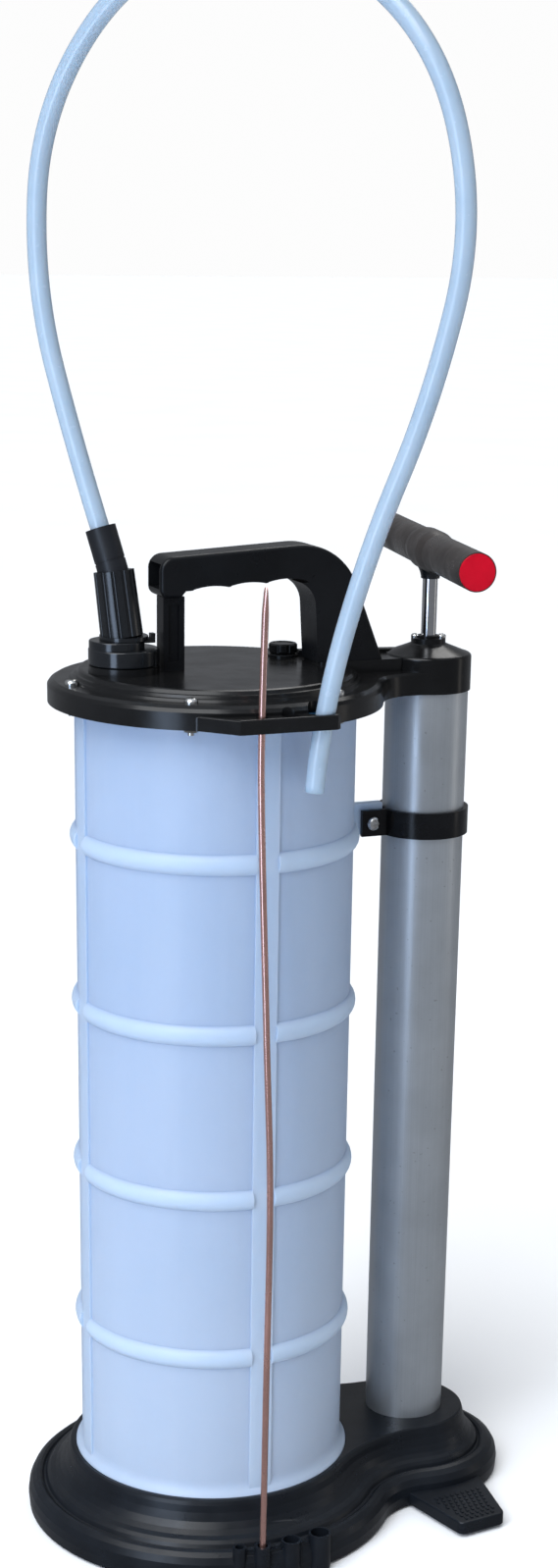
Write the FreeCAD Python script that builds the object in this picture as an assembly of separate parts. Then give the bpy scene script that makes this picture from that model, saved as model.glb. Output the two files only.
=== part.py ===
"""Hand-operated fluid transfer pump: a translucent tank on a two-lobed base, a vacuum pump tube
beside it with a T-handle, a screwed lid with a carry handle, and a clear suction hose.

Frame: millimetres, +Z up. The origin is on the floor under the tank's axis, +X points from the
tank to the pump, and -Y is the front, where the probe-tube holders and the foot pedal are.
"""

import FreeCAD, Part
import math
import os

V = FreeCAD.Vector
UP = V(0, 0, 1)

# ---- driving dimensions -------------------------------------------------------------------
TANK_R = 82.5            # tank wall, outside
TANK_WALL = 2.5
RIB_OUT = 3.5            # how far the ribs stand out of the wall
RIB_H = 12.5
RIB_Z = (135.0, 237.0, 339.0, 440.0)
FLARE_R = 86.5           # foot of the tank, sitting in the base's collar
STRIP_W = 13.5
STRIP_OUT = 1.3          # how far the upright strips stand out, where the ribs stop

PUMP_X = 136.6           # distance between the tank's and the pump's axes
TUBE_R = 25.0
BORE_R = 23.0
ROD_R = 4.5
STROKE = 440.0

FLOOR_GAP = 2.0          # height of the rubber feet
SEAT_Z = 38.0            # floor of the tank's recess in the base
DECK_Z = 44.0            # top of the base, around the tank and the pump
RIM_Z = 519.2            # lower edge of the lid's skirt
FLANGE_Z = 520.0         # underside of the tank's top flange
FLANGE_R = 92.5
LID_R = 98.0
LID_TOP = 538.5          # the lid's flat middle
LEDGE_Z = 532.5          # the lower ledge that carries the screws
SCREW_R = 88.0           # radius of the lid's screw circle
SCREW_ANGLES = (60, 120, 180, 240, 300)
CAP_R = 26.2             # pump cap, moulded with the lid
CAP_TOP = 541.0
GLAND_Z = 546.5          # top of the cap's cone, under the gland plate

HANDLE_W = 24.0          # carry handle, across
HANDLE_FOOT = 540.0
POST_X = -28.0
HANDLE_SCREWS_X = (72.0, POST_X)

PORT_X = -56.5           # hose port on the lid
PORT_R = 20.4
COLLAR_TOP = 552.3
HOSE_R = 5.5
HOSE_HOLE = (25.0, -97.5)         # where the hose drops through the lid's tab
BOOT_TILT = 19.0
CONE_TILT = 8.0

TAB_Y = -107.5           # front face of the tube-holding tab on the lid
TAB_TOP = 527.4
PROBE_R = 2.0
SPARE_HOLE = (5.0, -101.0)

GRIP_Z = 601.0
GRIP_HALF = 104.0
GRIP_R = 11.0
GRIP_ANGLE = -101.4      # direction of the grip about Z at rest, degrees from +X

VENT = (53.0, 26.0)      # vent plug, with the float valve under it
CLAMP_Z = 431.6
CLAMP_H = 16.0
CLAMP_SCREW_X = 100.5

# Holders on the base's front edge: x, y, outer radius, bore radius.
HOLDERS = ((-24.3, -111.6, 4.3, 2.7), (-10.5, -114.8, 5.3, 3.2),
           (8.5, -114.2, 6.1, 4.8), (28.4, -112.0, 6.9, 5.7))
HOLDER_TOP = 25.0
HOLDER_FLOOR = 7.0

# The base's plan at each height: z, tank lobe, pump lobe, radius of the waist between them.
BASE_LEVELS = ((2.0, 117.0, 62.5, 38), (9.0, 117.6, 63.1, 38), (14.5, 116.9, 62.2, 39),
               (18.5, 115.0, 59.8, 42), (20.8, 112.4, 56.4, 46), (21.6, 110.4, 53.8, 49),
               (20.7, 108.8, 52.2, 51), (19.5, 107.8, 51.3, 53), (20.2, 106.6, 50.2, 55),
               (22.4, 105.4, 49.4, 57), (24.2, 103.4, 48.0, 60), (25.6, 100.2, 45.9, 65),
               (28.0, 97.2, 44.0, 69), (31.8, 94.4, 42.0, 75), (36.8, 92.2, 40.3, 84),
               (41.0, 91.2, 39.4, 92), (43.2, 90.2, 38.7, 97), (DECK_Z, 88.8, 37.6, 100))
HOLLOW_LEVELS = ((FLOOR_GAP - 1, 113.5, 59.0, 41), (12.0, 113.5, 59.0, 41), (16.0, 110.0, 55.0, 45),
                 (18.2, 104.5, 49.0, 57), (21.0, 100.0, 45.4, 64), (24.5, 95.5, 42.2, 71),
                 (29.0, 91.0, 38.8, 80), (34.0, 88.0, 37.0, 88))

# The hose's route in the upright plane through the port and its hole in the tab:
# distance from the port's axis, height.
HOSE_ROUTE = ((-10.6, 605.7), (-31.4, 662.0), (-57.0, 748.0), (-51.0, 840.0), (9.0, 912.5),
              (102.0, 927.5), (183.0, 876.0), (209.5, 787.0), (188.0, 697.5), (152.5, 615.0),
              (127.5, 527.5), (123.7, 482.5))

# The soft copper probe tube has been bent a little by hand: x, y, z of points along it.
PROBE_ROUTE = ((-10.5, -114.8, 7.3), (-8.6, -112.0, 120.0), (-6.2, -108.4, 245.0),
               (-8.6, -105.6, 345.0), (-12.0, -102.6, 470.0), (-12.2, -101.8, 523.0),
               (-11.2, -103.0, 598.0))

hose_run = V(HOSE_HOLE[0] - PORT_X, HOSE_HOLE[1], 0).normalize()
hose_side = UP.cross(hose_run)


# ---- helpers --------------------------------------------------------------------------------
def save(name, shape):
    """Writes one node; a node of identical fasteners is a compound of separate solids."""
    shape.exportStep("parts/" + name + ".step")
    print("%-20s %9.0f mm3  valid %s" % (name, shape.Volume, shape.isValid()))


def disc(r, z0, z1, x=0.0, y=0.0):
    return Part.makeCylinder(r, z1 - z0, V(x, y, z0))


def ring(r_out, r_in, z0, z1, x=0.0, y=0.0):
    return disc(r_out, z0, z1, x, y).cut(disc(r_in, z0 - 1, z1 + 1, x, y))


def cone(r0, r1, z0, z1, x=0.0, y=0.0):
    return Part.makeCone(r0, r1, z1 - z0, V(x, y, z0))


def box(x0, x1, y0, y1, z0, z1):
    return Part.makeBox(x1 - x0, y1 - y0, z1 - z0, V(x0, y0, z0))


def edges(points):
    """Edges through points; a triple (middle, end, "arc") makes an arc."""
    out = []
    last = points[0]
    for p in points[1:]:
        if p[-1] == "arc":
            out.append(Part.Arc(last, p[0], p[1]).toShape())
            last = p[1]
        else:
            out.append(Part.makeLine(last, p))
            last = p
    return out


def rz(r, z):
    return V(r, 0, z)


def turned(points, x=0.0, y=0.0):
    """Solid of revolution about Z from a closed section in the XZ plane."""
    face = Part.Face(Part.Wire(edges(points + [points[0]])))
    solid = face.revolve(V(0, 0, 0), UP, 360)
    solid.translate(V(x, y, 0))
    return solid


def around(shape, count, x=0.0, y=0.0, start=0.0):
    """Copies of a shape turned about a vertical axis, as a list."""
    out = []
    for i in range(count):
        copy = shape.copy()
        copy.rotate(V(x, y, 0), UP, start + 360.0 * i / count)
        out.append(copy)
    return out


def fuse(shapes):
    solid = shapes[0]
    for other in shapes[1:]:
        solid = solid.fuse(other)
    return solid.removeSplitter()


def cut(shape, tools):
    for tool in tools:
        shape = shape.cut(tool)
    return shape


def lobes(z, a, b, waist):
    """Closed outline of two circles, about the tank and the pump, with a concave waist."""
    fx = (PUMP_X ** 2 + (a + waist) ** 2 - (b + waist) ** 2) / (2 * PUMP_X)
    fy = math.sqrt((a + waist) ** 2 - fx ** 2)
    t = V(fx, fy, 0) * (a / (a + waist))
    p = V(PUMP_X, 0, 0) + (V(fx, fy, 0) - V(PUMP_X, 0, 0)) * (b / (b + waist))
    centre = V(fx, fy, 0)
    m = centre + ((t - centre) + (p - centre)).normalize() * waist
    up = V(0, 0, z)

    def front(v):
        return V(v.x, -v.y, z)

    arcs = [Part.Arc(t + up, V(-a, 0, z), front(t)), Part.Arc(front(t), front(m), front(p)),
            Part.Arc(front(p), V(PUMP_X + b, 0, z), p + up), Part.Arc(p + up, m + up, t + up)]
    return Part.Wire([arc.toShape() for arc in arcs])


def stacked(levels):
    return Part.makeLoft([lobes(*level) for level in levels], True, True)


def hose_point(s, z):
    return V(PORT_X, 0, z) + hose_run * s


def aimed(shape, base, tilt):
    """Stands a shape built on +Z at base, leaning back along the hose's plane by tilt degrees."""
    shape.rotate(V(0, 0, 0), hose_side, -tilt)
    shape.translate(base)
    return shape


def cross_recess(r, z, depth):
    wide = r * 0.62
    thin = r * 0.17
    a = box(-wide, wide, -thin, thin, z - depth, z + 1)
    b = box(-thin, thin, -wide, wide, z - depth, z + 1)
    return a.fuse(b)


def pan_screw(head_r, head_h, shank_r, length):
    """Screw on +Z: the head's underside at 0, its shank below."""
    bulge = 0.55
    section = [rz(0, 0), rz(head_r, 0), rz(head_r, head_h * bulge),
               (rz(head_r * 0.8, head_h * 0.9), rz(0, head_h), "arc")]
    head = turned(section)
    return head.fuse(disc(shank_r, -length, 0.2)).cut(cross_recess(head_r, head_h, head_h * 0.6))


def hex_nut(across, bore, z0, z1):
    corners = []
    for i in range(7):
        a = math.radians(60 * i)
        corners.append(V(across / math.sqrt(3) * math.cos(a), across / math.sqrt(3) * math.sin(a), z0))
    prism = Part.Face(Part.makePolygon(corners)).extrude(V(0, 0, z1 - z0))
    return prism.cut(disc(bore, z0 - 1, z1 + 1))


def moved(shape, x, y, z):
    shape.translate(V(x, y, z))
    return shape


def on_circle(r, angle):
    return r * math.cos(math.radians(angle)), r * math.sin(math.radians(angle))


def screw_spots():
    return [on_circle(SCREW_R, angle) for angle in SCREW_ANGLES]


def grip_frame(shape):
    """Takes a shape built along +Z about the origin to the grip's axis."""
    shape.rotate(V(0, 0, 0), V(0, 1, 0), 90)
    shape.rotate(V(0, 0, 0), UP, GRIP_ANGLE)
    shape.translate(V(PUMP_X, 0, GRIP_Z))
    return shape


# ---- base -----------------------------------------------------------------------------------
def foot_spots():
    spots = [on_circle(105.5, a) for a in (100, 150, 210, 262)] + [(0.0, 0.0)]
    for angle in (20, -33):
        x, y = on_circle(51.0, angle)
        spots.append((PUMP_X + x, y))
    return spots


def base_ribs(hollow):
    """Thin ribs on a grid under the deck."""
    pitch = 56.0
    ribs = []
    for i in range(-1, 4):
        ribs.append(box(pitch * i - 1.25, pitch * i + 1.25, -120, 120, 4, 40))
    for i in range(-1, 2):
        ribs.append(box(-120, 200, pitch * i - 1.25, pitch * i + 1.25, 4, 40))
    return fuse(ribs).common(hollow)


def holder_web(left, right):
    """Thin wall joining two neighbouring holders and the base's edge behind them."""
    a = V(left[0], left[1], FLOOR_GAP)
    b = V(right[0], right[1], FLOOR_GAP)
    back = V(0, 5, 0)
    face = Part.Face(Part.makePolygon([a, b, b + back, a + back, a]))
    return face.extrude(V(0, 0, 19.0))


def base():
    outer = stacked(BASE_LEVELS)
    hollow = stacked(HOLLOW_LEVELS)
    shell = outer.cut(hollow)
    extras = [base_ribs(hollow), disc(30.0, FLOOR_GAP, 36.0, PUMP_X).common(outer)]
    for x, y in foot_spots():
        extras.append(disc(9.5, FLOOR_GAP, 36.0, x, y).common(outer))
    for holder in HOLDERS:
        extras.append(disc(holder[2], FLOOR_GAP, HOLDER_TOP, holder[0], holder[1]))
    for left, right in zip(HOLDERS, HOLDERS[1:]):
        extras.append(holder_web(left, right))
    solid = shell.multiFuse(extras)
    tools = [disc(FLARE_R + 0.4, SEAT_Z, 60.0), disc(TUBE_R + 0.15, 6.0, 60.0, PUMP_X)]
    for x, y, _, bore in HOLDERS:
        tools.append(disc(bore, HOLDER_FLOOR, 40.0, x, y))
    for x, y in foot_spots():
        tools.append(disc(7.1, FLOOR_GAP - 1, FLOOR_GAP + 1, x, y))
    return cut(solid, tools)


def base_feet():
    return Part.makeCompound([disc(7.0, 0.0, FLOOR_GAP + 1.0, x, y) for x, y in foot_spots()])


def foot_pedal():
    """Tapered step at the front of the pump's lobe, with a tread of short raised bars."""
    z0, z1 = 3.0, 11.0
    corners = [V(110, -48, z0), V(126.5, -111, z0), V(159, -107, z0), V(167.5, -48, z0)]
    slab = Part.Face(Part.makePolygon(corners + corners[:1])).extrude(V(0, 0, z1 - z0))
    upright = [e for e in slab.Edges if abs(e.tangentAt(e.FirstParameter).z) > 0.9
               and e.CenterOfMass.y < -100]
    slab = slab.makeFillet(5.0, upright)
    top = [e for e in slab.Edges if e.BoundBox.ZMin > z1 - 0.01 and e.BoundBox.YMin < -100]
    slab = slab.makeFillet(1.2, top)
    bars = []
    for row in range(8):
        y = -104.5 + 4.3 * row
        left = 110 - 16.5 * (48 + y) / 63
        right = 167.5 + 8.5 * (48 + y) / 59
        count = int((right - left - 9.0) / 3.9)
        for col in range(count):
            x = (left + right) / 2 + 3.9 * (col - (count - 1) / 2) + 0.9 * (row % 2)
            bar = box(-0.75, 0.75, -1.35, 1.35, z1 - 0.3, z1 + 0.55)
            bars.append(moved(bar, x, y + 0.12 * (x - 140), 0))
    return cut(fuse([slab] + bars), [stacked(BASE_LEVELS)])


# ---- tank -----------------------------------------------------------------------------------
def tank_wall():
    r = TANK_R
    section = [rz(0, SEAT_Z), rz(FLARE_R - 1, SEAT_Z), rz(FLARE_R, SEAT_Z + 1), rz(FLARE_R, DECK_Z),
               (rz(FLARE_R - 2.6, DECK_Z + 3.2), rz(r, DECK_Z + 9.5), "arc")]
    for z in RIB_Z:
        section.append(rz(r, z - RIB_H / 2))
        section.append((rz(r + RIB_OUT, z), rz(r, z + RIB_H / 2), "arc"))
    section += [rz(r, FLANGE_Z), rz(FLANGE_R, FLANGE_Z), rz(FLANGE_R, FLANGE_Z + 4.5),
                rz(0, FLANGE_Z + 4.5)]
    return turned(section)


def tank_strip(angle, top):
    """Low flat upright strip."""
    half = STRIP_W / 2 + 0.2
    bar = box(TANK_R - 1.5, TANK_R + 6.0, -half, half, DECK_Z, top)
    bar = bar.common(disc(TANK_R + STRIP_OUT, 0, top))
    bar.rotate(V(0, 0, 0), UP, angle)
    return bar


def rib_gap(angle):
    """Room for a strip: what the ribs lose there."""
    gap = box(TANK_R - 4.0, TANK_R + 6.0, -STRIP_W / 2, STRIP_W / 2, 110.0, 460.0)
    gap = gap.cut(disc(TANK_R + 0.7, 100.0, 470.0))
    gap.rotate(V(0, 0, 0), UP, angle)
    return gap


def tank():
    angles = (0, 90, 180, 270)
    wall = cut(tank_wall(), [rib_gap(angle) for angle in angles])
    parts = [wall] + [tank_strip(angle, 518.0) for angle in angles]
    parts.append(box(TANK_R - 1.5, 108.0, -3.0, 3.0, 432.5, 451.5))
    solid = fuse(parts)
    tools = [disc(TANK_R - TANK_WALL, SEAT_Z + 3.0, 560.0)]
    for x, y in screw_spots():
        tools.append(disc(2.3, 510.0, 540.0, x, y))
    hole = Part.makeCylinder(2.8, 20, V(CLAMP_SCREW_X, -10, CLAMP_Z + CLAMP_H / 2), V(0, 1, 0))
    return cut(solid, tools + [hole])


# ---- lid ------------------------------------------------------------------------------------
def lid_plate():
    """Skirt and ledge in one outline that runs out round the pump cap."""
    levels = [(RIM_Z, LID_R, CAP_R, 30), (529.0, LID_R, CAP_R, 30), (531.0, 96.6, CAP_R, 31),
              (LEDGE_Z, 94.0, CAP_R - 0.4, 33)]
    return stacked(levels)


def lid_steps():
    """Stepped rings from the screw ledge up to the flat middle."""
    return turned([rz(0, 530), rz(85.2, 530), rz(85.2, LEDGE_Z), rz(84.4, 534.0), rz(82.9, 534.3),
                   rz(82.2, 535.9), rz(80.9, 536.2), rz(79.6, 538.0), rz(78.2, LID_TOP),
                   rz(0, LID_TOP)])


def lid_tab():
    outline = [V(-54, -80, RIM_Z), V(-44.5, -87.5, RIM_Z), V(-27, TAB_Y, RIM_Z), V(31, TAB_Y, RIM_Z),
               V(33.5, -105, RIM_Z), V(36.5, -90.5, RIM_Z), V(30, -80, RIM_Z)]
    slab = Part.Face(Part.makePolygon(outline + outline[:1])).extrude(V(0, 0, TAB_TOP - RIM_Z))
    front = [e for e in slab.Edges if e.BoundBox.ZMin > TAB_TOP - 0.01 and e.BoundBox.YMin < -86]
    return slab.makeFillet(1.2, front)


def lid_duct():
    """Low ridge over the air passage from the vent to the pump cap."""
    a = V(VENT[0], VENT[1], 530)
    b = V(PUMP_X - 10, 12, 530)
    along = b - a
    side = UP.cross(along).normalize() * 3.5
    bar = Part.Face(Part.makePolygon([a + side, b + side, b - side, a - side, a + side]))
    return bar.extrude(V(0, 0, 12.0))


def pump_cap():
    section = [rz(0, RIM_Z), rz(CAP_R, RIM_Z), rz(CAP_R, CAP_TOP - 2),
               (rz(CAP_R - 0.7, CAP_TOP - 0.6), rz(CAP_R - 2.2, CAP_TOP), "arc"),
               rz(11.5, GLAND_Z - 0.6), rz(10.6, GLAND_Z), rz(0, GLAND_Z)]
    return turned(section, PUMP_X)


def lid():
    pad = box(60.0, 116.0, -13.5, 13.5, 530.0, HANDLE_FOOT)
    pad = pad.makeFillet(4.0, [e for e in pad.Edges if e.BoundBox.ZLength > 5])
    extras = [lid_steps(), pump_cap(), lid_tab(), pad, lid_duct(), disc(9.2, 530, 539.5, *VENT),
              disc(PORT_R, 536.0, 542.6, PORT_X)]
    solid = fuse([lid_plate()] + extras)
    tools = [disc(94.5, 500.0, 527.5), disc(78.0, 520.0, 534.2),
             disc(TUBE_R + 0.15, 500.0, 533.0, PUMP_X), disc(5.4, 530.0, 560.0, PUMP_X),
             disc(6.0, 520.0, 560.0, *VENT), disc(9.6, 539.5, 560.0, *VENT), disc(10.2, 520.0, 560.0, PORT_X),
             disc(7.6, 510.0, 550.0, *HOSE_HOLE), disc(5.0, 510.0, 550.0, *SPARE_HOLE),
             disc(3.2, 510.0, 550.0, PROBE_ROUTE[5][0], PROBE_ROUTE[5][1])]
    for x, y in screw_spots():
        tools.append(disc(2.2, 520.0, 560.0, x, y))
        tools.append(disc(4.4, LEDGE_Z, 560.0, x, y))
    for x, y in gland_spots():
        tools.append(disc(1.3, 539.0, 560.0, x, y))
    tools.append(Part.makeCylinder(2.0, 75, V(VENT[0] + 8, VENT[1] - 1.6, 538.2),
                                   V(PUMP_X - 10 - VENT[0], 12 - VENT[1], 0)))
    tools.append(disc(2.0, 530.0, 538.2, *VALVE))
    return cut(solid, tools + handle_screw_holes())


def lid_gasket():
    return ring(85.4, 80.2, FLANGE_Z + 4.5, 527.5)


def lid_screws():
    screws = []
    for x, y in screw_spots():
        screws.append(moved(pan_screw(3.9, 2.9, 2.0, 17.6), x, y, LEDGE_Z))
    return Part.makeCompound(screws)


def lid_nuts():
    nuts = []
    for x, y in screw_spots():
        nuts.append(moved(hex_nut(7.0, 2.05, 0.0, 3.2), x, y, FLANGE_Z - 3.2))
    return Part.makeCompound(nuts)


# ---- carry handle ---------------------------------------------------------------------------
def carry_handle():
    """Bar with a hooked front end and a splayed rear leg, finger-grooved underneath."""
    y = -HANDLE_W / 2

    corners = ((-38, 580.5), (-38, 603.2), (74, 609.4), (101.5, HANDLE_FOOT), (59.5, HANDLE_FOOT),
               (56.5, 588.8), (-23, 584.3), (-26.5, 580.5))
    outline = [V(x, y, z) for x, z in corners]
    slab = Part.Face(Part.makePolygon(outline + outline[:1])).extrude(V(0, HANDLE_W, 0))
    for corner, radius in ((0, 5.0), (1, 8.0), (2, 38.0), (5, 16.0)):
        middle = outline[corner] + V(0, HANDLE_W / 2, 0)
        slab = slab.makeFillet(radius, [e for e in slab.Edges if (e.CenterOfMass - middle).Length < 0.1])
    rim = [e for e in slab.Edges if e.BoundBox.YLength < 0.01 and e.BoundBox.ZMax > 589.5]
    slab = slab.makeFillet(2.2, rim)
    grooves = []
    for x in (40.0, 17.0, -6.0):
        underside = 584.3 + 0.0566 * (x + 23)
        groove = Part.makeCylinder(46.0, 40, V(x, -20, underside + 1.4 - 46.0), V(0, 1, 0))
        grooves.append(groove.common(box(x - 12.5, x + 12.5, -20, 20, underside - 1.5, underside + 3)))
    channel = box(-50, -8, -HANDLE_W / 2 + 3.2, HANDLE_W / 2 - 3.2, 585.5, 599.5)
    return cut(slab, [channel] + grooves + handle_screw_holes())


def handle_screw_holes():
    return [disc(2.05, 520.0, 551.0, x, 0.0) for x in HANDLE_SCREWS_X]


def handle_post():
    """H-section pillar under the handle's front end."""
    x = POST_X
    solid = box(x - 6.5, x + 6.5, -5.5, 5.5, LID_TOP, 580.5)
    grooves = [box(x - 3.2, x + 3.2, side * 5.5 - 1.5, side * 5.5 + 1.5, LID_TOP + 5, 576)
               for side in (-1, 1)]
    return cut(solid, grooves + handle_screw_holes())


def handle_screws():
    """Screws driven up through the lid into the handle and its post."""
    screws = []
    for x in HANDLE_SCREWS_X:
        screw = pan_screw(3.8, 2.0, 1.95, 16.0)
        screw.rotate(V(0, 0, 0), V(1, 0, 0), 180)
        screws.append(moved(screw, x, 0.0, 534.2))
    return Part.makeCompound(screws)


# ---- hose port ------------------------------------------------------------------------------
def lock_collar():
    """Turning collar that holds the connector, with an offset plate and a thumb tab."""
    body = disc(PORT_R, 543.0, COLLAR_TOP, PORT_X)
    body = body.makeFillet(0.9, [e for e in body.Edges if e.Closed and e.BoundBox.ZLength < 0.01])
    plate = disc(16.0, COLLAR_TOP - 0.5, 557.0, PORT_X - 4.2)
    plate = plate.makeFillet(0.8, [e for e in plate.Edges if e.Closed and e.CenterOfMass.z > 556])
    tab = box(PORT_X + 8, PORT_X + 19.6, 1.0, 5.0, 554.0, 557.0)
    tip = box(PORT_X + 17.0, PORT_X + 19.6, 1.0, 5.0, 554.0, 559.4)
    return fuse([body, plate, tab, tip]).cut(disc(9.9, 500, 600, PORT_X))


def port_seal():
    return Part.makeTorus(9.7, 0.9, V(PORT_X, 0, 536.4)).cut(disc(9.2, 530, 545, PORT_X)).common(
        ring(10.2, 9.2, 530, 545, PORT_X))


def cone_body():
    """Fluted grip of the connector, leaning with the pull of the hose."""
    grip = cone(12.3, 11.6, 0, 37.0)
    flutes = []
    for i in range(12):
        x, y = on_circle(12.7, 30.0 * i + 8)
        groove = Part.makeCone(1.35, 1.3, 38.0, V(x, y, -0.5), V(-x * 0.0015, -y * 0.0015, 1))
        flutes.append(groove)
    return cut(grip, flutes)


def cone_base():
    return hose_point(-1.2, 558.6)


def hose_connector():
    base_point = cone_base()
    solid = aimed(cone_body(), base_point, CONE_TILT).cut(disc(40.0, 540.0, 557.15, PORT_X))
    flange = disc(14.0, 557.15, 559.4, PORT_X)
    stem = disc(9.2, 522.0, 559.0, PORT_X)
    solid = fuse([solid, flange, stem])
    passage = [disc(4.5, 510.0, 561.0, PORT_X),
               aimed(disc(4.5, -1.0, 34.0), base_point, CONE_TILT)]
    return cut(solid, passage)


def boot_base():
    return hose_point(-6.0, 592.5)


def hose_boot():
    sleeve = disc(8.8, -6.0, 27.5)
    groove = ring(9.5, 8.45, 8.0, 9.0)
    bores = [disc(HOSE_R + 0.4, 13.5, 30.0), disc(4.5, -10.0, 20.0)]
    solid = aimed(cut(sleeve, [groove] + bores), boot_base(), BOOT_TILT)
    return solid.cut(aimed(disc(40.0, -30.0, 37.0), cone_base(), CONE_TILT))


def hose():
    """Clear plastic hose: straight runs joined by arcs that meet them smoothly."""
    points = [hose_point(s, z) for s, z in HOSE_ROUTE]
    pieces = []
    start = points[0]
    for before, corner, after in zip(points, points[1:], points[2:]):
        back = before - corner
        ahead = after - corner
        half_turn = (math.pi - back.getAngle(ahead)) / 2
        reach = 0.45 * min(back.Length, ahead.Length)
        print("hose bend radius %.0f mm" % (reach / math.tan(half_turn)))
        first = corner + back.normalize() * reach
        last = corner + ahead.normalize() * reach
        bisector = (back + ahead).normalize()
        radius = reach / math.tan(half_turn)
        middle = corner + bisector * (radius / math.cos(half_turn) - radius)
        pieces.append(Part.LineSegment(start, first).toShape())
        pieces.append(Part.Arc(first, middle, last).toShape())
        start = last
    pieces.append(Part.LineSegment(start, points[-1]).toShape())
    route = Part.Wire(pieces)
    heading = points[1] - points[0]
    section = Part.Wire([Part.makeCircle(HOSE_R, points[0], heading)])
    tube = route.makePipeShell([section], True, False)
    print("hose length %.1f mm, volume ratio %.3f"
          % (route.Length, tube.Volume / (math.pi * HOSE_R ** 2 * route.Length)))
    return tube


def fill_spout():
    """Short pipe that leads the fluid from the port into the tank."""
    pipe = ring(9.9, 8.0, 440.0, 521.5, PORT_X)
    return fuse([pipe, ring(12.5, 9.3, 521.5, 524.0, PORT_X), ring(12.5, 10.2, 524.0, 534.2, PORT_X)])


# ---- vent plug and float valve --------------------------------------------------------------
def vent_plug():
    """Quarter-turn vent plug: a round knob with finger notches, on a short stem."""
    knob = turned([rz(0, 539.8), rz(7.4, 539.8), rz(8.6, 541.6), rz(8.6, 545.4), rz(7.7, 546.3),
                   rz(6.2, 546.3), rz(5.8, 545.9), rz(0, 545.9)], *VENT)
    notches = around(disc(1.4, 541.0, 548.0, VENT[0] + 9.4, VENT[1]), 8, VENT[0], VENT[1])
    return fuse([cut(knob, notches), disc(5.9, 532.0, 540.0, *VENT)])


def vent_seal():
    return ring(8.2, 6.1, 539.5, 539.75, *VENT)


def float_cage():
    x, y = VENT
    cage = ring(13.5, 11.5, 470.0, 534.2, x, y)
    floor = disc(13.5, 470.0, 472.5, x, y)
    solid = fuse([cage, floor])
    slots = around(box(x - 3, x + 3, y, y + 20, 476.0, 500.0), 4, x, y, 45)
    drain = [disc(3.0, 460, 480, x, y)]
    return cut(solid, slots + drain)


def float_seat():
    return ring(11.4, 6.0, 506.0, 509.5, *VENT)


def float_ball():
    return Part.makeSphere(9.5, V(VENT[0], VENT[1], 472.5 + 9.8))


# ---- pump -----------------------------------------------------------------------------------
VALVE = (PUMP_X - 11.0, 9.0)


def gland_spots():
    return [(PUMP_X + 8.0 * k * math.cos(math.radians(-21.2)), 8.0 * k * math.sin(math.radians(-21.2)))
            for k in (-1, 1)]


def pump_tube():
    return ring(TUBE_R, BORE_R, 6.5, 532.5, PUMP_X)


def tube_plug():
    """Plug in the foot of the tube; its holes let air out under the piston."""
    plug = disc(BORE_R - 0.1, 7.0, 27.7, PUMP_X)
    groove = ring(24.0, BORE_R - 2.4, 14.0, 16.4, PUMP_X)
    vents = around(disc(2.0, 0.0, 30.0, PUMP_X + 12.0, 0.0), 4, PUMP_X, 0)
    return cut(plug, [groove] + vents)


def plug_o_ring():
    return Part.makeTorus(BORE_R - 1.2, 1.15, V(PUMP_X, 0, 15.2)).common(disc(BORE_R - 0.02, 10, 20, PUMP_X))


def piston():
    """Two-flanged piston with a seat for the cup and a nut pocket underneath."""
    r = BORE_R - 0.3
    section = [rz(0, 28.0), rz(r - 1, 28.0), rz(r, 29.0), rz(r, 33.5), rz(r - 4, 33.5), rz(r - 4, 37.5),
               rz(r, 37.5), rz(r, 41.0), rz(14.0, 41.0), rz(14.0, 51.0), rz(0, 51.0)]
    solid = turned(section, PUMP_X)
    return cut(solid, [disc(ROD_R + 0.06, 20, 60, PUMP_X), disc(8.6, 20, 37.0, PUMP_X)])


def wear_ring():
    return ring(BORE_R - 0.05, BORE_R - 4.2, 33.7, 37.3, PUMP_X)


def piston_cup():
    """Rubber cup above the piston; its lip seals on the pull and lets air past on the push."""
    section = [rz(14.1, 41.1), rz(BORE_R - 2.5, 41.1), rz(BORE_R - 0.06, 43.0), rz(BORE_R - 0.06, 50.0),
               rz(BORE_R - 2.0, 50.0), rz(BORE_R - 3.2, 44.6), rz(14.1, 44.6)]
    return turned(section, PUMP_X)


def piston_nut():
    return moved(hex_nut(13.0, ROD_R - 1.2, 0.0, 5.0), PUMP_X, 0, 30.3)


def piston_washer():
    return ring(7.8, ROD_R - 1.2, 35.4, 36.9, PUMP_X)


def piston_rod():
    """Chromed rod, stepped down to a thread through the piston."""
    shank = disc(ROD_R, 37.0, 593.5, PUMP_X)
    return fuse([shank, disc(ROD_R - 1.2, 28.6, 37.0, PUMP_X), disc(8.0, 51.2, 55.0, PUMP_X)])


def gland_plate():
    lobe = ring(10.4, ROD_R + 0.5, GLAND_Z, 549.6, PUMP_X)
    lip = ring(6.4, ROD_R + 0.5, 549.4, 551.0, PUMP_X)
    holes = []
    for x, y in gland_spots():
        holes += [disc(1.3, 540, 560, x, y), disc(2.7, 549.6, 560, x, y)]
    return cut(fuse([lobe, lip]), holes)


def gland_bush():
    return ring(5.35, ROD_R + 0.06, 533.2, GLAND_Z - 2.4, PUMP_X)


def rod_seal():
    return ring(5.35, ROD_R + 0.06, GLAND_Z - 2.2, GLAND_Z - 0.1, PUMP_X)


def gland_screws():
    return Part.makeCompound([moved(pan_screw(2.5, 1.9, 1.2, 9.0), x, y, 549.6) for x, y in gland_spots()])


def valve_cage():
    """Small cage under the cap that guides the inlet valve's disc."""
    x, y = VALVE
    cage = ring(6.6, 5.4, 519.0, 533.0, x, y)
    return fuse([cage, ring(6.6, 3.0, 519.0, 520.2, x, y)])


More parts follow.
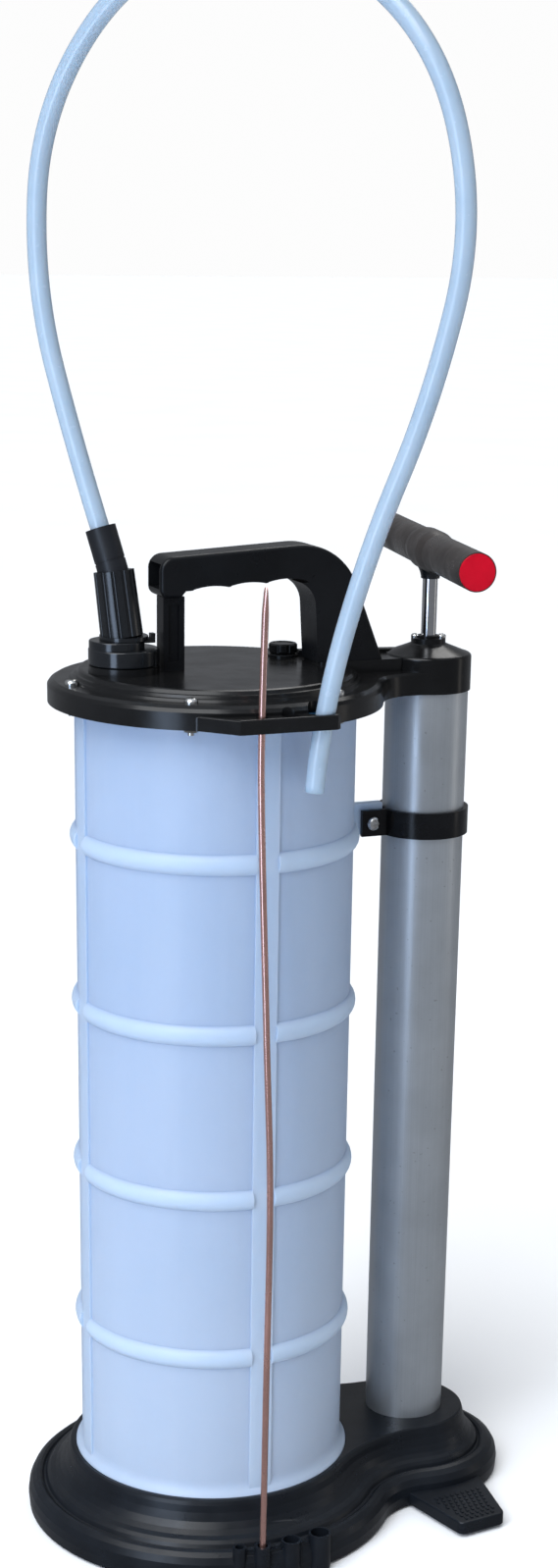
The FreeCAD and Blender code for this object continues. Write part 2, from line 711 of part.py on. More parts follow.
def inlet_valve():
    return disc(5.1, 531.0, 532.6, *VALVE)


def valve_spring():
    helix = Part.makeHelix(2.4, 9.6, 3.9)
    wire = Part.Wire([Part.makeCircle(0.35, V(3.9, 0, 0), V(0, 1, 0))])
    coil = Part.Wire(helix.Edges).makePipeShell([wire], True, True)
    return moved(coil, VALVE[0], VALVE[1], 520.6)


# ---- T-handle -------------------------------------------------------------------------------
def hub_blank():
    neck = turned([rz(0, 584.6), rz(5.6, 584.6), (rz(6.6, 589.0), rz(9.6, 593.6), "arc"), rz(9.6, 600),
                   rz(0, 600)], PUMP_X)
    return fuse([neck, grip_frame(disc(9.8, -13.0, 13.0))])


def handle_hub():
    bore = grip_frame(disc(7.6, -20.0, 20.0))
    return cut(hub_blank(), [bore, disc(ROD_R, 570, 593.5, PUMP_X)])


def grip_core():
    return grip_frame(ring(7.5, 6.0, -GRIP_HALF + 3.5, GRIP_HALF - 3.5))


def grip_sleeve():
    """One soft sleeve over the whole bar, swelling where it passes over the hub."""
    r = GRIP_R
    h = GRIP_HALF
    section = [rz(7.6, -h + 2.2), rz(7.6, h - 2.2), rz(10.5, h - 2.2), rz(10.5, h - 0.4),
               rz(r - 0.15, h - 0.4), rz(r, h - 0.6), rz(r, 20.0),
               (rz(r + 0.7, 15.5), rz(r + 1.3, 10.0), "arc"), rz(r + 1.3, -10.0),
               (rz(r + 0.7, -15.5), rz(r, -20.0), "arc"), rz(r, -h + 0.6), rz(r - 0.15, -h + 0.4),
               rz(10.5, -h + 0.4), rz(10.5, -h + 2.2)]
    return grip_frame(turned(section)).cut(hub_blank())


def end_cap(side):
    """Red plug in the end of the grip."""
    h = GRIP_HALF
    section = [rz(0, h - 14), rz(5.9, h - 14), rz(5.9, h - 3.4), rz(7.5, h - 3.4), rz(7.5, h - 2.1),
               rz(10.4, h - 2.1), rz(10.4, h - 0.4), rz(10.0, h), rz(0, h)]
    plug = turned(section)
    if side < 0:
        plug.rotate(V(0, 0, 0), V(0, 1, 0), 180)
    return grip_frame(plug)


# ---- clamp and probe tube -------------------------------------------------------------------
def clamp_band():
    """Band round the pump tube whose two ears hold the tank's lug between them."""
    z0, z1 = CLAMP_Z, CLAMP_Z + CLAMP_H
    band = ring(TUBE_R + 2.7, TUBE_R + 0.1, z0, z1, PUMP_X)
    ears = [box(93.5, PUMP_X - 18, 3.1, 6.1, z0, z1), box(93.5, PUMP_X - 18, -6.1, -3.1, z0, z1)]
    solid = fuse([band] + ears)
    solid = cut(solid, [box(90, PUMP_X - 10, -3.1, 3.1, z0 - 1, z1 + 1), disc(TUBE_R + 0.1, z0 - 1, z1 + 1, PUMP_X)])
    hole = Part.makeCylinder(2.6, 20, V(CLAMP_SCREW_X, -10, z0 + CLAMP_H / 2), V(0, 1, 0))
    return solid.cut(hole)


def across_clamp(shape):
    """Takes a fastener built on +Z to the clamp's screw axis, its head at the front."""
    shape.rotate(V(0, 0, 0), V(1, 0, 0), 90)
    shape.translate(V(CLAMP_SCREW_X, -6.1, CLAMP_Z + CLAMP_H / 2))
    return shape


def clamp_screw():
    return across_clamp(pan_screw(4.2, 3.0, 2.4, 18.0))


def clamp_nut():
    return across_clamp(hex_nut(8.0, 2.45, -16.2, -12.2))


def probe_tube():
    """Hand-bent copper tube that stands in a holder and in the lid's tab."""
    spine = Part.BSplineCurve()
    spine.interpolate([V(*p) for p in PROBE_ROUTE])
    start = V(*PROBE_ROUTE[0])
    heading = spine.tangent(spine.FirstParameter)[0]
    wire = Part.Wire([spine.toShape()])
    outside = wire.makePipeShell([Part.Wire([Part.makeCircle(PROBE_R, start, heading)])], True, True)
    inside = wire.makePipeShell([Part.Wire([Part.makeCircle(PROBE_R - 0.7, start, heading)])], True, True)
    return outside.cut(inside)


# ---- export ---------------------------------------------------------------------------------
os.makedirs("parts", exist_ok=True)

save("base", base())
save("base_feet", base_feet())
save("foot_pedal", foot_pedal())
save("tank", tank())
save("lid", lid())
save("lid_gasket", lid_gasket())
save("lid_screws", lid_screws())
save("lid_nuts", lid_nuts())
save("carry_handle", carry_handle())
save("handle_post", handle_post())
save("handle_screws", handle_screws())
save("lock_collar", lock_collar())
save("port_seal", port_seal())
save("hose_connector", hose_connector())
save("hose_boot", hose_boot())
save("hose", hose())
save("fill_spout", fill_spout())
save("vent_plug", vent_plug())
save("vent_seal", vent_seal())
save("float_cage", float_cage())
save("float_seat", float_seat())
save("float_ball", float_ball())
save("pump_tube", pump_tube())
save("tube_plug", tube_plug())
save("plug_o_ring", plug_o_ring())
save("piston", piston())
save("wear_ring", wear_ring())
save("piston_cup", piston_cup())
save("piston_nut", piston_nut())
save("piston_washer", piston_washer())
save("piston_rod", piston_rod())
save("gland_plate", gland_plate())
save("gland_bush", gland_bush())
save("rod_seal", rod_seal())
save("gland_screws", gland_screws())
save("valve_cage", valve_cage())
save("inlet_valve", inlet_valve())
save("valve_spring", valve_spring())
save("handle_hub", handle_hub())
save("grip_core", grip_core())
save("grip_sleeve", grip_sleeve())
save("end_cap_front", end_cap(1))
save("end_cap_back", end_cap(-1))
save("clamp_band", clamp_band())
save("clamp_screw", clamp_screw())
save("clamp_nut", clamp_nut())
save("probe_tube", probe_tube())
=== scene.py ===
import math

import bpy
from mathutils import Matrix, Vector


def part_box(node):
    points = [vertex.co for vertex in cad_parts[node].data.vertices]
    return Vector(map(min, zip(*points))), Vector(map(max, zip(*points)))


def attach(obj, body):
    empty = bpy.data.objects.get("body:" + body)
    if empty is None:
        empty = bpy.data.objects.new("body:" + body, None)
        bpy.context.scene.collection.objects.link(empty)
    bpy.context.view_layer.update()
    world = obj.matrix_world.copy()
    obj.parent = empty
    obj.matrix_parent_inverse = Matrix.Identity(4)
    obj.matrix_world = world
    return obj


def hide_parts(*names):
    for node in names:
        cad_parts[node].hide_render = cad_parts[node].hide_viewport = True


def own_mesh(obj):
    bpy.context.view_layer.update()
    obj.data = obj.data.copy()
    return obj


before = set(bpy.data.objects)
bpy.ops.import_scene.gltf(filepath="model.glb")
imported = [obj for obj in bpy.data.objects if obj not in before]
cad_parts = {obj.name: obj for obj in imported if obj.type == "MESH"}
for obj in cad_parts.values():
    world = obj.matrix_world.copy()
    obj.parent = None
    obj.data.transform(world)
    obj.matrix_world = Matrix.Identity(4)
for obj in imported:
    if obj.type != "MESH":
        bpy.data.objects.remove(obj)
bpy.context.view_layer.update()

# The part's own dimensions, in metres, as its source has them.
TANK_R = 0.0825
RIB_Z = 0.135                    # lowest rib
RIB_PITCH = 0.1017
PORT_X = -0.0565                 # axis of the hose port
HOSE_HOLE = (0.025, -0.0975)     # where the hose drops through the lid's tab
HOSE_R = 0.0055

# The source's hose is a solid rod. Here it is hollow, with an assumed wall.
HOSE_WALL = 0.0016

# The hose's route in the upright plane through the port and its hole in the tab:
# distance from the port's axis, height.
HOSE_ROUTE = ((-0.0106, 0.6057), (-0.0314, 0.662), (-0.057, 0.748), (-0.051, 0.84),
              (0.009, 0.9125), (0.102, 0.9275), (0.183, 0.876), (0.2095, 0.787),
              (0.188, 0.6975), (0.1525, 0.615), (0.1275, 0.5275), (0.1237, 0.4825))

# The soft copper probe tube has been bent a little by hand: x, y, z of points along it.
PROBE_ROUTE = ((-0.0105, -0.1148, 0.0073), (-0.0086, -0.112, 0.12), (-0.0062, -0.1084, 0.245),
               (-0.0086, -0.1056, 0.345), (-0.012, -0.1026, 0.47), (-0.0122, -0.1018, 0.523),
               (-0.0112, -0.103, 0.598))
PROBE_R = 0.002
PROBE_WALL = 0.0007
PROBE_PINCH = 0.016              # length of its flattened tip

# Where the camera stands and how it is turned.
CAMERA_PLACE = (-0.53174, -1.37178, 0.78038)
CAMERA_TURN, CAMERA_DOWN, CAMERA_ROLL = 22.764, 18.859, 0.865
CAMERA_LENS, CAMERA_SHIFT = 58.05, 0.1963

hose_run = Vector((HOSE_HOLE[0] - PORT_X, HOSE_HOLE[1], 0)).normalized()


# ---- camera ---------------------------------------------------------------------------------

def camera():
    """A view from a little left of the front, looking down about 19 degrees."""
    turn, pitch, roll = (math.radians(a) for a in (CAMERA_TURN, CAMERA_DOWN, CAMERA_ROLL))
    ahead = Vector((math.sin(turn) * math.cos(pitch), math.cos(turn) * math.cos(pitch),
                    -math.sin(pitch)))
    level = Vector((math.cos(turn), -math.sin(turn), 0))
    upward = level.cross(ahead)
    right = math.cos(roll) * level + math.sin(roll) * upward
    up = math.cos(roll) * upward - math.sin(roll) * level
    lens = bpy.data.cameras.new("camera")
    lens.sensor_width, lens.lens, lens.shift_y = 36.0, CAMERA_LENS, CAMERA_SHIFT
    lens.clip_start, lens.clip_end = 0.05, 100
    made = bpy.data.objects.new("camera", lens)
    bpy.context.collection.objects.link(made)
    place = Matrix((right, up, -ahead)).transposed().to_4x4()
    place.translation = CAMERA_PLACE
    made.matrix_world = place
    bpy.context.scene.camera = made


camera()


# ---- shared mesh and node helpers -----------------------------------------------------------

def mesh_piece(name, points, faces):
    mesh = bpy.data.meshes.new(name)
    mesh.from_pydata([tuple(p) for p in points], [], faces)
    mesh.validate()
    mesh.polygons.foreach_set("use_smooth", [True] * len(mesh.polygons))
    made = bpy.data.objects.new(name, mesh)
    bpy.context.collection.objects.link(made)
    return made


def along(line):
    """Frames along a line: point, direction and two sides that don't twist."""
    frames, side = [], None
    for i, p in enumerate(line):
        ahead = (line[min(i + 1, len(line) - 1)] - line[max(i - 1, 0)]).normalized()
        side = ahead.orthogonal() if side is None else side - side.dot(ahead) * ahead
        side.normalize()
        frames.append((p, ahead, side.copy(), ahead.cross(side)))
    return frames


def tube(name, stations, count=40, closed=True):
    """A skin through circles: each station is a point, two sides and a radius. Closed, the last
    circle joins the first, so stations that run out along the outside and back along the bore
    make a hollow tube."""
    points, faces = [], []
    for p, side, other, r in stations:
        for k in range(count):
            a = 2 * math.pi * k / count
            points.append(p + r * (math.cos(a) * side + math.sin(a) * other))
    rows = len(stations)
    for i in range(rows if closed else rows - 1):
        j = (i + 1) % rows
        for k in range(count):
            n = (k + 1) % count
            faces.append((i * count + k, i * count + n, j * count + n, j * count + k))
    return mesh_piece(name, points, faces)


def cap_ends(piece, count):
    """Closes the first and the last circle of an open skin."""
    mesh = piece.data
    total = len(mesh.vertices)
    points = [v.co.copy() for v in mesh.vertices]
    faces = [list(f.vertices) for f in mesh.polygons]
    faces.append(list(range(count))[::-1])
    faces.append(list(range(total - count, total)))
    mesh.clear_geometry()
    mesh.from_pydata(points, [], faces)
    mesh.polygons.foreach_set("use_smooth", [True] * len(mesh.polygons))


def smooth_line(route):
    """Points read from the route's own smooth spline."""
    curve = bpy.data.curves.new("route", "CURVE")
    curve.dimensions = "3D"
    spline = curve.splines.new("NURBS")
    spline.points.add(len(route) - 1)
    for point, place in zip(spline.points, route):
        point.co = (*place, 1)
    spline.order_u = 3
    spline.use_endpoint_u = True
    spline.resolution_u = 24
    holder = bpy.data.objects.new("route", curve)
    bpy.context.collection.objects.link(holder)
    bpy.context.view_layer.update()
    ready = holder.evaluated_get(bpy.context.evaluated_depsgraph_get())
    mesh = bpy.data.meshes.new_from_object(ready)
    line = [v.co.copy() for v in mesh.vertices]
    bpy.data.objects.remove(holder)
    return line


def material(name, **values):
    """A new Principled material, with even values set on its own sockets."""
    made = bpy.data.materials.new(name)
    made.use_nodes = True
    shader = made.node_tree.nodes["Principled BSDF"]
    for socket, value in values.items():
        shader.inputs[socket.replace("_", " ")].default_value = value
    return made, made.node_tree, shader


def node(tree, kind, values=(), **settings):
    made = tree.nodes.new("ShaderNode" + kind)
    for key, value in settings.items():
        setattr(made, key, value)
    for socket, value in dict(values).items():
        if isinstance(value, bpy.types.NodeSocket):
            tree.links.new(value, made.inputs[socket])
        else:
            made.inputs[socket].default_value = value
    return made


def spread(tree, x=1.0, y=1.0, z=1.0):
    """Object coordinates in metres, stretched."""
    where = node(tree, "TexCoord").outputs["Object"]
    return node(tree, "Mapping", {"Vector": where, "Scale": (x, y, z)}).outputs["Vector"]


def noise(tree, scale, detail=3.0, where=None, rough=0.5):
    made = node(tree, "TexNoise", {"Vector": where or spread(tree), "Scale": scale,
                                   "Detail": detail, "Roughness": rough})
    return made.outputs["Fac"]


def levels(tree, fac, low, high, to_low=0.0, to_high=1.0):
    made = node(tree, "MapRange", {"Value": fac, "From Min": low, "From Max": high,
                                   "To Min": to_low, "To Max": to_high})
    return made.outputs["Result"]


def maths(tree, kind, a, b=0.0):
    return node(tree, "Math", {0: a, 1: b}, operation=kind).outputs[0]


def mixed(tree, fac, a, b):
    made = node(tree, "Mix", {"Factor": fac}, data_type="RGBA")
    for socket, value in ((made.inputs[6], a), (made.inputs[7], b)):
        if isinstance(value, bpy.types.NodeSocket):
            tree.links.new(value, socket)
        else:
            socket.default_value = (*value, 1)
    return made.outputs[2]


def bumped(tree, shader, *layers):
    """Stacks height layers, each (height, distance in metres), into the shader's normal."""
    normal = None
    for height, distance in layers:
        values = {"Height": height, "Distance": distance, "Strength": 1.0}
        if normal is not None:
            values["Normal"] = normal
        normal = node(tree, "Bump", values).outputs["Normal"]
    tree.links.new(normal, shader.inputs["Normal"])


def facing_up(tree):
    """1 on faces that look up, 0 on walls and undersides."""
    z = node(tree, "SeparateXYZ", {0: node(tree, "NewGeometry").outputs["Normal"]}).outputs["Z"]
    return levels(tree, z, 0.55, 0.95)


def scratches(tree, stretch=(14.0, 420.0, 90.0), low=0.70, high=0.78):
    """Sparse fine lines."""
    where = spread(tree, *stretch)
    line = noise(tree, 1.0, 5.0, where, 0.6)
    patch = levels(tree, noise(tree, 28.0, 2.0), 0.5, 0.66)
    return maths(tree, "MULTIPLY", levels(tree, line, low, high), patch)


# ---- materials ------------------------------------------------------------------------------

def black_plastic(name, tone, rough, grain, dust, marks=1.0, shine=0.22):
    """Moulded black polypropylene: fine spark texture, smudges, light scratches, dust on top."""
    made, tree, shader = material(name, IOR=1.46, Specular_IOR_Level=shine)
    cloud = noise(tree, 22.0, 5.0, None, 0.62)
    base = mixed(tree, levels(tree, cloud, 0.35, 0.7), [c * 0.75 for c in tone],
                 [c * 1.35 for c in tone])
    marked = maths(tree, "MULTIPLY", scratches(tree), 0.35 * marks)
    base = mixed(tree, marked, base, (0.16, 0.16, 0.165))
    specks = levels(tree, noise(tree, 420.0, 2.0), 0.62, 0.75)
    lying = maths(tree, "MULTIPLY", facing_up(tree),
                  maths(tree, "ADD", levels(tree, noise(tree, 55.0, 6.0), 0.42, 0.75, 0, 0.5),
                        maths(tree, "MULTIPLY", specks, 0.5)))
    dusty = maths(tree, "MULTIPLY", lying, dust)
    tree.links.new(mixed(tree, dusty, base, (0.20, 0.185, 0.165)), shader.inputs["Base Color"])
    smudge = levels(tree, noise(tree, 48.0, 6.0, None, 0.65), 0.3, 0.72, rough[0], rough[1])
    tree.links.new(maths(tree, "ADD", smudge, maths(tree, "MULTIPLY", dusty, 0.5)),
                   shader.inputs["Roughness"])
    bumped(tree, shader, (noise(tree, 35.0, 2.0), 0.0004), (noise(tree, 1500.0, 2.0), grain),
           (marked, -0.00004))
    return made


def tank_plastic():
    """Blow-moulded natural polyethylene, milky, with light scattered inside it. It is paler where
    it is thicker: at the ribs and strips. Towards the foot it is painted paler: painted light,
    standing in for light thrown up from the pale floor."""
    made, tree, shader = material("tank_milky", IOR=1.5, Subsurface_Weight=0.4,
                                  Subsurface_Scale=0.02, Specular_IOR_Level=0.3)
    shader.inputs["Subsurface Radius"].default_value = (0.6, 0.85, 1.0)
    where = spread(tree, 1, 1, 0)
    out = node(tree, "VectorMath", {0: where}, operation="LENGTH").outputs["Value"]
    thick = levels(tree, out, TANK_R + 0.0002, TANK_R + 0.0013)
    up = node(tree, "SeparateXYZ", {0: spread(tree)}).outputs["Z"]
    off = maths(tree, "PINGPONG", maths(tree, "SUBTRACT", up, RIB_Z), RIB_PITCH / 2)
    ribbed = levels(tree, off, 0.0035, 0.0085, 0.45, 0.3)
    flow = noise(tree, 1.0, 4.0, spread(tree, 55, 55, 4.0))
    cloud = noise(tree, 7.0, 3.0)
    wall = mixed(tree, levels(tree, cloud, 0.3, 0.7), (0.29, 0.385, 0.56), (0.32, 0.41, 0.585))
    wall = mixed(tree, levels(tree, flow, 0.45, 0.8, 0.0, 0.3), wall, (0.36, 0.45, 0.61))
    # Painted light: the wall is painted paler towards the foot, as if lit from the pale floor
    # below.
    wall = mixed(tree, levels(tree, up, 0.36, 0.06, 0.0, 0.42), wall, (0.44, 0.52, 0.64))
    tree.links.new(mixed(tree, maths(tree, "MULTIPLY", thick, ribbed), wall, (0.45, 0.545, 0.66)),
                   shader.inputs["Base Color"])
    tree.links.new(levels(tree, noise(tree, 60.0, 5.0), 0.3, 0.7, 0.34, 0.46),
                   shader.inputs["Roughness"])
    bumped(tree, shader, (noise(tree, 9.0, 2.0), 0.0016), (noise(tree, 160.0, 2.0), 0.00012),
           (scratches(tree, (500, 500, 12)), -0.00003))
    return made


def hose_plastic():
    """Milky clear polyethylene hose."""
    made, tree, shader = material("hose_clear", IOR=1.49, Subsurface_Weight=0.4,
                                  Subsurface_Scale=0.01, Transmission_Weight=0.0,
                                  Coat_Weight=0.3, Coat_Roughness=0.1)
    shader.inputs["Subsurface Radius"].default_value = (0.5, 0.8, 1.0)
    body = mixed(tree, levels(tree, noise(tree, 40.0, 3.0), 0.3, 0.7), (0.305, 0.40, 0.515),
                 (0.335, 0.43, 0.545))
    tree.links.new(body, shader.inputs["Base Color"])
    tree.links.new(levels(tree, noise(tree, 220.0, 3.0), 0.3, 0.7, 0.16, 0.28),
                   shader.inputs["Roughness"])
    bumped(tree, shader, (noise(tree, 60.0, 1.0), 0.00003))
    return made


def metal(name, colour, rough, grain=(900, 900, 14), grain_depth=0.00002, spots=0.0,
          spot_colour=(0.2, 0.2, 0.2), cloudy=0.08, metallic=1.0, coat=0.0):
    """Metal with drawn lines along Z, cloudy tarnish and sparse small spots."""
    made, tree, shader = material(name, Metallic=metallic, Coat_Weight=coat, Coat_IOR=1.9,
                                  Coat_Roughness=0.12)
    lines = noise(tree, 1.0, 4.0, spread(tree, *grain))
    cloud = noise(tree, 24.0, 5.0, None, 0.6)
    base = mixed(tree, levels(tree, cloud, 0.3, 0.7), [c * (1 - cloudy) for c in colour],
                 [min(1, c * (1 + cloudy)) for c in colour])
    base = mixed(tree, levels(tree, lines, 0.35, 0.7, 0.0, 0.18), base,
                 [c * 0.6 for c in colour])
    if spots:
        spot = levels(tree, noise(tree, 330.0, 1.0), 0.735, 0.77)
        base = mixed(tree, maths(tree, "MULTIPLY", spot, spots), base, spot_colour)
    tree.links.new(base, shader.inputs["Base Color"])
    tree.links.new(levels(tree, cloud, 0.25, 0.75, rough[0], rough[1]),
                   shader.inputs["Roughness"])
    bumped(tree, shader, (lines, grain_depth))
    return made


def rubbery(name, colour, rough, grain=0.00005, dust=0.1, patchy=1.0, shine=0.32):
    """Soft rubber or PVC with a fine skin."""
    made, tree, shader = material(name, IOR=1.48, Specular_IOR_Level=shine)
    cloud = noise(tree, 30.0, 5.0, None, 0.6)
    base = mixed(tree, levels(tree, cloud, 0.3, 0.7), [c * (1 - 0.2 * patchy) for c in colour],
                 [c * (1 + 0.25 * patchy) for c in colour])
    lying = maths(tree, "MULTIPLY", facing_up(tree), dust)
    tree.links.new(mixed(tree, lying, base, (0.22, 0.21, 0.2)), shader.inputs["Base Color"])
    tree.links.new(levels(tree, noise(tree, 70.0, 5.0), 0.3, 0.7, rough[0], rough[1]),
                   shader.inputs["Roughness"])
    bumped(tree, shader, (noise(tree, 60.0, 3.0), 0.0002), (noise(tree, 1300.0, 2.0), grain))
    return made


LID = black_plastic("lid_black", (0.0052, 0.0053, 0.0056), (0.16, 0.28), 0.000008, 0.025, 0.4,
                    0.31)
BASE = black_plastic("base_black", (0.0058, 0.0074, 0.0102), (0.24, 0.4), 0.000015, 0.03, 0.6,
                     0.27)
HANDLE = black_plastic("handle_black", (0.0052, 0.0056, 0.0066), (0.24, 0.4), 0.00003, 0.03)
PORT = black_plastic("port_black", (0.006, 0.007, 0.0085), (0.12, 0.22), 0.00001, 0.03, 0.5,
                     0.55)
BAND = black_plastic("band_black", (0.0045, 0.0047, 0.0055), (0.16, 0.3), 0.000015, 0.04)
TANK = tank_plastic()
HOSE = hose_plastic()
ALU = metal("tube_aluminium", (0.47, 0.50, 0.53), (0.30, 0.42), (1200, 1200, 8), 0.000012,
            0.35, (0.13, 0.12, 0.11), metallic=0.75)
CHROME = metal("rod_chrome", (0.58, 0.59, 0.61), (0.05, 0.1), (300, 300, 1500), 0.000002)
STEEL = metal("screw_steel", (0.70, 0.70, 0.69), (0.16, 0.3), (900, 900, 900), 0.00001)
ZINC = metal("nut_zinc", (0.30, 0.28, 0.25), (0.35, 0.55), (900, 900, 900), 0.00001)
COPPER = metal("probe_copper", (0.66, 0.345, 0.285), (0.2, 0.32), (1500, 1500, 6), 0.00001,
               0.5, (0.30, 0.12, 0.08), 0.14, 0.9, 1.0)
RUBBER = rubbery("seal_rubber", (0.018, 0.018, 0.019), (0.5, 0.7))
BOOT = rubbery("boot_rubber", (0.008, 0.009, 0.0115), (0.32, 0.46), 0.00003, 0.04)
GRIP = rubbery("grip_sleeve", (0.022, 0.0175, 0.0155), (0.2, 0.46), 0.00004, 0.05, 1.9)
RED = rubbery("cap_red", (0.42, 0.001, 0.012), (0.34, 0.46), 0.00002, 0.0, 1.0, 0.12)
WHITE = rubbery("inner_white", (0.72, 0.73, 0.72), (0.4, 0.55), 0.00003, 0.0)

FINISH = {
    "base": BASE, "foot_pedal": BASE, "base_feet": RUBBER, "tank": TANK, "lid": LID,
    "lid_gasket": RUBBER, "lid_screws": STEEL, "lid_nuts": ZINC, "carry_handle": HANDLE,
    "handle_post": HANDLE, "handle_screws": STEEL, "lock_collar": PORT, "port_seal": RUBBER,
    "hose_connector": PORT, "hose_boot": BOOT, "hose": HOSE, "fill_spout": WHITE,
    "vent_plug": LID, "vent_seal": RUBBER, "float_cage": WHITE, "float_seat": RUBBER,
    "float_ball": WHITE, "pump_tube": ALU, "tube_plug": PORT, "plug_o_ring": RUBBER,
    "piston": ALU, "wear_ring": WHITE, "piston_cup": RUBBER, "piston_nut": STEEL,
    "piston_washer": STEEL, "piston_rod": CHROME, "gland_plate": LID, "gland_bush": WHITE,
    "rod_seal": RUBBER, "gland_screws": STEEL, "valve_cage": WHITE, "inlet_valve": RUBBER,
    "valve_spring": STEEL, "handle_hub": PORT, "grip_core": STEEL, "grip_sleeve": GRIP,
    "end_cap_front": RED, "end_cap_back": RED, "clamp_band": BAND, "clamp_screw": STEEL,
    "clamp_nut": STEEL, "probe_tube": COPPER,
}
for name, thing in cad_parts.items():
    for slot in thing.material_slots:
        slot.material = FINISH[name]


def finished(piece, look, slot, body, *nodes):
    """Gives a new piece its material, the body it rides on and the nodes it stands for.
    Its slot argument is not used."""
    piece.data.materials.append(look)
    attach(piece, body)
    if nodes:
        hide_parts(*nodes)
    return piece


# ---- hose -----------------------------------------------------------------------------------

def hose_point(s, z):
    return Vector((PORT_X, 0, z)) + hose_run * s


def hose():
    """A hollow hose along the route, open at its cut end and pushed into the boot at the other."""
    line = smooth_line([hose_point(s, z) for s, z in HOSE_ROUTE])
    frames = along(line)
    bore = HOSE_R - HOSE_WALL
    out = [(p, a, b, HOSE_R) for p, _, a, b in frames]
    p, _, a, b = frames[-1]
    lip = [(p, a, b, HOSE_R - 0.0004), (p, a, b, bore + 0.0003)]
    p, _, a, b = frames[0]
    start = [(p, a, b, bore), (p, a, b, HOSE_R - 0.0004)]
    back = [(p, a, b, bore) for p, _, a, b in reversed(frames)]
    piece = tube("hose_clear", out + lip + back + start)
    finished(piece, HOSE, "hose_plastic", "body", "hose")


hose()


# ---- probe tube -----------------------------------------------------------------------------

def through(points, steps):
    """A smooth line through every point."""
    line = []
    for i in range(len(points) - 1):
        b, c = points[i], points[i + 1]
        a = points[i - 1] if i else 2 * b - c
        d = points[i + 2] if i + 2 < len(points) else 2 * c - b
        for k in range(steps):
            t = k / steps
            line.append(0.5 * (2 * b + (c - a) * t + (2 * a - 5 * b + 4 * c - d) * t ** 2
                               + (3 * b - a - 3 * c + d) * t ** 3))
    return line + [points[-1]]


def probe():
    """Copper tube, open at the foot, its top end pinched flat and drawn to a point."""
    line = through([Vector(p) for p in PROBE_ROUTE], 26)
    frames = along(line)
    reach = 0.0
    lengths = [0.0]
    for a, b in zip(line, line[1:]):
        reach += (b - a).length
        lengths.append(reach)
    stations = []
    for (p, _, a, b), s in zip(frames, lengths):
        pinch = max(0.0, min(1.0, (s - reach + PROBE_PINCH) / PROBE_PINCH))
        ease = pinch * pinch * (3 - 2 * pinch)
        stations.append((p, a * (1 - 0.80 * ease), b * (1 - 0.35 * ease), PROBE_R))
    p, t, a, b = frames[-1]
    tip = [(p - t * 0.0004, a * 0.14, b * 0.45, PROBE_R), (p, a * 0.05, b * 0.12, PROBE_R)]
    p, t, a, b = frames[0]
    inner, depth, sides = PROBE_R - PROBE_WALL, 0.02, 28
    bore = [(p + t * depth, a, b, 0.0001), (p + t * depth, a, b, inner), (p, a, b, inner)]
    piece = tube("probe_copper", bore + stations[:-1] + tip, sides, closed=False)
    cap_ends(piece, sides)
    finished(piece, COPPER, "copper", "probe", "probe_tube")


probe()


# ---- spring of the inlet valve --------------------------------------------------------------

def valve_spring():
    """Four turns of wire under the valve's disc, built at one fixed length. The valve presses the
    real spring down as it opens.
    """
    low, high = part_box("valve_spring")
    x, y = (low[0] + high[0]) / 2, (low[1] + high[1]) / 2
    wire, turns, steps, sides = 0.00035, 4, 24, 8
    r = (high[0] - low[0]) / 2 - wire
    line = []
    for i in range(turns * steps + 1):
        a = 2 * math.pi * i / steps
        z = low[2] + wire + (high[2] - low[2] - 2 * wire) * i / (turns * steps)
        line.append(Vector((x + r * math.cos(a), y + r * math.sin(a), z)))
    stations = [(p, a, b, wire) for p, _, a, b in along(line)]
    piece = tube("valve_coil", stations, sides, closed=False)
    cap_ends(piece, sides)
    finished(piece, STEEL, "steel", "body", "valve_spring")
    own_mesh(piece)


valve_spring()


# ---- stage and light ------------------------------------------------------------------------

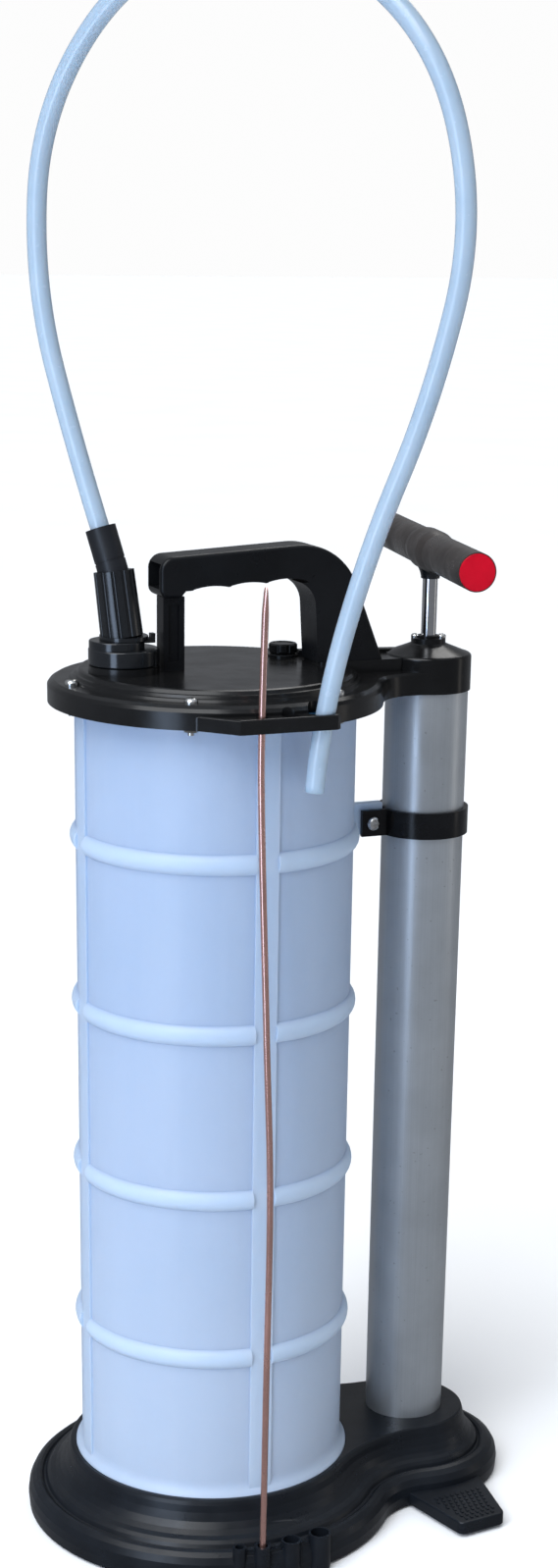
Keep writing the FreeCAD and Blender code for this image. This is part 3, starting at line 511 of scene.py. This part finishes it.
def studio():
    """A plain pale floor that runs to the horizon, and large soft lights."""
    made, tree, shader = material("floor_pale", Roughness=0.85, Specular_IOR_Level=0.2)
    tree.links.new(mixed(tree, levels(tree, noise(tree, 3.0, 3.0), 0.3, 0.7),
                         (0.93, 0.93, 0.93), (0.96, 0.96, 0.96)), shader.inputs["Base Color"])
    size = 40.0
    floor = mesh_piece("floor", [(-size, -size, 0), (size, -size, 0), (size, size, 0),
                                 (-size, size, 0)], [(0, 1, 2, 3)])
    floor.data.materials.append(made)
    floor.visible_glossy = False    # its reflection would grey the black plastic
    world = bpy.data.worlds.new("studio")
    world.use_nodes = True
    tree = world.node_tree
    up = node(tree, "SeparateXYZ", {0: node(tree, "TexCoord").outputs["Generated"]}).outputs["Z"]
    room = mixed(tree, levels(tree, up, 0.55, 0.9), (0.24, 0.25, 0.27), (0.62, 0.66, 0.72))
    # The backdrop is pale to look at, and dimmer as a light.
    seen = node(tree, "LightPath").outputs["Is Camera Ray"]
    tree.links.new(mixed(tree, seen, room, (0.98, 0.98, 0.98)),
                   tree.nodes["Background"].inputs["Color"])
    bpy.context.scene.world = world
    sun = bpy.data.lights.new("sun", "SUN")
    sun.energy, sun.angle, sun.color = 2.9, math.radians(50), (0.96, 0.98, 1.0)
    lamps = [("sun", sun, (-1.7, -1.25, 2.9))]
    for name, place, size, power, colour in (
            ("key", (-1.15, -0.85, 0.7), (0.45, 1.6), 12.0, (0.58, 0.74, 1.0)),
            ("fill", (1.5, -0.5, 0.75), (0.25, 1.4), 1.0, (1.0, 0.94, 0.86)),
            ("back", (1.0, 1.3, 2.2), (1.0, 1.0), 13.0, (1.0, 0.99, 0.97))):
        lamp = bpy.data.lights.new(name, "AREA")
        lamp.shape, lamp.size, lamp.size_y = "RECTANGLE", *size
        lamp.energy, lamp.color = power, colour
        lamps.append((name, lamp, place))
    for name, lamp, place in lamps:
        made = bpy.data.objects.new(name, lamp)
        bpy.context.collection.objects.link(made)
        made.location = place
        made.visible_camera = False
        aim = Vector((0.03, 0, 0.35 if lamp.type == "SUN" else place[2])) - Vector(place)
        made.rotation_euler = aim.to_track_quat("-Z", "Y").to_euler()


studio()
bpy.context.scene.view_settings.view_transform = "Standard"

bpy.context.view_layer.update()
